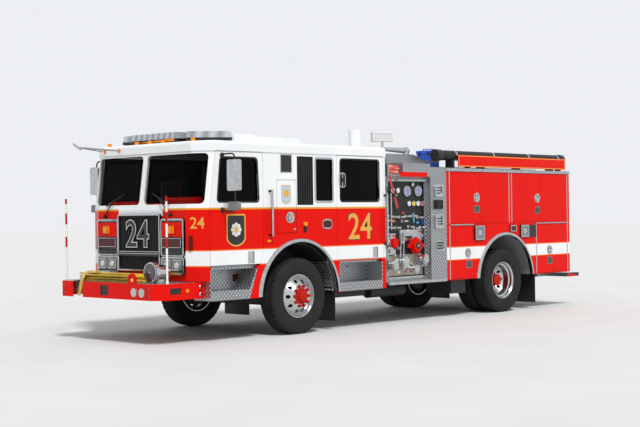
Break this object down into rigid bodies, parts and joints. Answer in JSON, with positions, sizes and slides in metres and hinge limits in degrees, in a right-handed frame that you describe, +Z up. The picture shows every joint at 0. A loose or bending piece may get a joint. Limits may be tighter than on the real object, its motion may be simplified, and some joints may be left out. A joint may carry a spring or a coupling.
{
  "type": "fire engine",
  "caption": "Custom-cab pumper fire engine with a side pump panel, opening cab doors and lockers, steered front wheels and rolling wheels.",
  "frame": {"origin": "on the ground under the middle of the bounding box", "axes": "the front faces -Y, +X is the vehicle's left (driver's) side, +Z is up"},
  "size_m": [3.124, 9.434, 2.8898],
  "materials": {
    "red_paint": "gloss",
    "white_paint": "gloss",
    "black_steel": "satin",
    "cast_grey": "matte",
    "tread_plate": "satin",
    "aluminium": "satin",
    "polished_aluminium": "polished",
    "bright_steel": "polished",
    "chrome": "polished",
    "glass": "gloss",
    "tyre": "matte",
    "black_rubber": "satin",
    "black_plastic": "matte",
    "blue_plastic": "matte",
    "seat_fabric": "matte",
    "yellow_hose": "matte",
    "red_hose": "matte"
  },
  "bodies": {
    "chassis": {"frame_rails": "black_steel", "front_axle": "black_steel", "rear_axle": "black_steel", "engine_block": "cast_grey", "underbody": "black_steel", "front_bumper": "tread_plate", "bumper_fittings": "chrome", "cab_front": "red_paint", "grille": "chrome", "cab_glass": "glass", "cab_side_left": "red_paint", "cab_side_right": "red_paint", "cab_tub": "tread_plate", "cab_roof": "red_paint", "seats": "seat_fabric", "dashboard": "black_plastic", "roof_fittings": "white_paint", "bright_trim": "bright_steel", "pump_house": "tread_plate", "pump_fittings": "chrome", "body_left": "red_paint", "body_right": "red_paint", "hose_bed": "tread_plate", "tailboard": "tread_plate", "hard_suction": "black_rubber", "ladders": "aluminium", "tool_case": "blue_plastic", "bumper_hose": "yellow_hose", "crosslay_hose": "red_hose"},
    "knuckle_left": {"knuckle_left": "black_steel"},
    "front_wheel_left": {"wheel_front_left": "polished_aluminium", "tyre_front_left": "tyre"},
    "rear_wheels_left": {"wheels_rear_left": "polished_aluminium", "tyres_rear_left": "tyre"},
    "knuckle_right": {"knuckle_right": "black_steel"},
    "front_wheel_right": {"wheel_front_right": "polished_aluminium", "tyre_front_right": "tyre"},
    "rear_wheels_right": {"wheels_rear_right": "polished_aluminium", "tyres_rear_right": "tyre"},
    "cab_door_front_left": {"cab_door_front_left": "red_paint", "door_glass_front_left": "glass", "mirror_left": "chrome"},
    "cab_door_rear_left": {"cab_door_rear_left": "red_paint", "door_glass_rear_left": "glass"},
    "cab_door_front_right": {"cab_door_front_right": "red_paint", "door_glass_front_right": "glass", "mirror_right": "chrome"},
    "cab_door_rear_right": {"cab_door_rear_right": "red_paint", "door_glass_rear_right": "glass"},
    "hatch_left": {"hatch_left": "red_paint"},
    "locker_lower_fore_left": {"locker_lower_fore_left": "red_paint"},
    "locker_lower_aft_front_left": {"locker_lower_aft_front_left": "red_paint"},
    "locker_lower_aft_rear_left": {"locker_lower_aft_rear_left": "red_paint"},
    "locker_upper_fore_front_left": {"locker_upper_fore_front_left": "red_paint"},
    "locker_upper_fore_rear_left": {"locker_upper_fore_rear_left": "red_paint"},
    "locker_upper_aft_front_left": {"locker_upper_aft_front_left": "red_paint"},
    "locker_upper_aft_rear_left": {"locker_upper_aft_rear_left": "red_paint"},
    "locker_lower_fore_right": {"locker_lower_fore_right": "red_paint"},
    "locker_lower_aft_front_right": {"locker_lower_aft_front_right": "red_paint"},
    "locker_lower_aft_rear_right": {"locker_lower_aft_rear_right": "red_paint"}
  },
  "joints": [
    {"name": "steer_left", "type": "hinge", "parent": "chassis", "child": "knuckle_left", "pos_m": [0.87, -2.315, 0.525], "axis": [0, 0, 1], "range_deg": [-30, 30]},
    {"name": "spin_front_left", "type": "hinge", "parent": "knuckle_left", "child": "front_wheel_left", "pos_m": [1.065, -2.315, 0.525], "axis": [1, 0, 0], "continuous": true},
    {"name": "spin_rear_left", "type": "hinge", "parent": "chassis", "child": "rear_wheels_left", "pos_m": [0.8975, 2.475, 0.525], "axis": [1, 0, 0], "continuous": true},
    {"name": "steer_right", "type": "hinge", "parent": "chassis", "child": "knuckle_right", "pos_m": [-0.87, -2.315, 0.525], "axis": [0, 0, 1], "range_deg": [-30, 30]},
    {"name": "spin_front_right", "type": "hinge", "parent": "knuckle_right", "child": "front_wheel_right", "pos_m": [-1.065, -2.315, 0.525], "axis": [1, 0, 0], "continuous": true},
    {"name": "spin_rear_right", "type": "hinge", "parent": "chassis", "child": "rear_wheels_right", "pos_m": [-0.8975, 2.475, 0.525], "axis": [1, 0, 0], "continuous": true},
    {"name": "cab_door_front_left_hinge", "type": "hinge", "parent": "chassis", "child": "cab_door_front_left", "pos_m": [1.222, -3.954, 1.7], "axis": [0, 0, -1], "range_deg": [0, 75]},
    {"name": "cab_door_rear_left_hinge", "type": "hinge", "parent": "chassis", "child": "cab_door_rear_left", "pos_m": [1.222, -1.565, 1.7], "axis": [0, 0, -1], "range_deg": [0, 75]},
    {"name": "cab_door_front_right_hinge", "type": "hinge", "parent": "chassis", "child": "cab_door_front_right", "pos_m": [-1.222, -3.954, 1.7], "axis": [0, 0, 1], "range_deg": [0, 75]},
    {"name": "cab_door_rear_right_hinge", "type": "hinge", "parent": "chassis", "child": "cab_door_rear_right", "pos_m": [-1.222, -1.565, 1.7], "axis": [0, 0, 1], "range_deg": [0, 75]},
    {"name": "hatch_left_hinge", "type": "hinge", "parent": "chassis", "child": "hatch_left", "pos_m": [1.222, -2.756, 1.757], "axis": [0, 0, -1], "range_deg": [0, 100]},
    {"name": "locker_lower_fore_left_hinge", "type": "hinge", "parent": "chassis", "child": "locker_lower_fore_left", "pos_m": [1.25, 1.011, 1.023], "axis": [0, 0, -1], "range_deg": [0, 90]},
    {"name": "locker_lower_aft_front_left_hinge", "type": "hinge", "parent": "chassis", "child": "locker_lower_aft_front_left", "pos_m": [1.25, 3.385, 1.023], "axis": [0, 0, -1], "range_deg": [0, 90]},
    {"name": "locker_lower_aft_rear_left_hinge", "type": "hinge", "parent": "chassis", "child": "locker_lower_aft_rear_left", "pos_m": [1.25, 4.29, 1.023], "axis": [0, 0, 1], "range_deg": [0, 90]},
    {"name": "locker_upper_fore_front_left_hinge", "type": "hinge", "parent": "chassis", "child": "locker_upper_fore_front_left", "pos_m": [1.25, 1.011, 1.8805], "axis": [0, 0, -1], "range_deg": [0, 90]},
    {"name": "locker_upper_fore_rear_left_hinge", "type": "hinge", "parent": "chassis", "child": "locker_upper_fore_rear_left", "pos_m": [1.25, 2.551, 1.8805], "axis": [0, 0, 1], "range_deg": [0, 90]},
    {"name": "locker_upper_aft_front_left_hinge", "type": "hinge", "parent": "chassis", "child": "locker_upper_aft_front_left", "pos_m": [1.25, 2.679, 1.8805], "axis": [0, 0, -1], "range_deg": [0, 90]},
    {"name": "locker_upper_aft_rear_left_hinge", "type": "hinge", "parent": "chassis", "child": "locker_upper_aft_rear_left", "pos_m": [1.25, 4.29, 1.8805], "axis": [0, 0, 1], "range_deg": [0, 90]},
    {"name": "locker_lower_fore_right_hinge", "type": "hinge", "parent": "chassis", "child": "locker_lower_fore_right", "pos_m": [-1.25, 1.011, 1.023], "axis": [0, 0, 1], "range_deg": [0, 90]},
    {"name": "locker_lower_aft_front_right_hinge", "type": "hinge", "parent": "chassis", "child": "locker_lower_aft_front_right", "pos_m": [-1.25, 3.385, 1.023], "axis": [0, 0, 1], "range_deg": [0, 90]},
    {"name": "locker_lower_aft_rear_right_hinge", "type": "hinge", "parent": "chassis", "child": "locker_lower_aft_rear_right", "pos_m": [-1.25, 4.29, 1.023], "axis": [0, 0, -1], "range_deg": [0, 90]}
  ],
  "couplings": [
    {"joint": "steer_right", "follows": "steer_left", "ratio": 1}
  ]
}
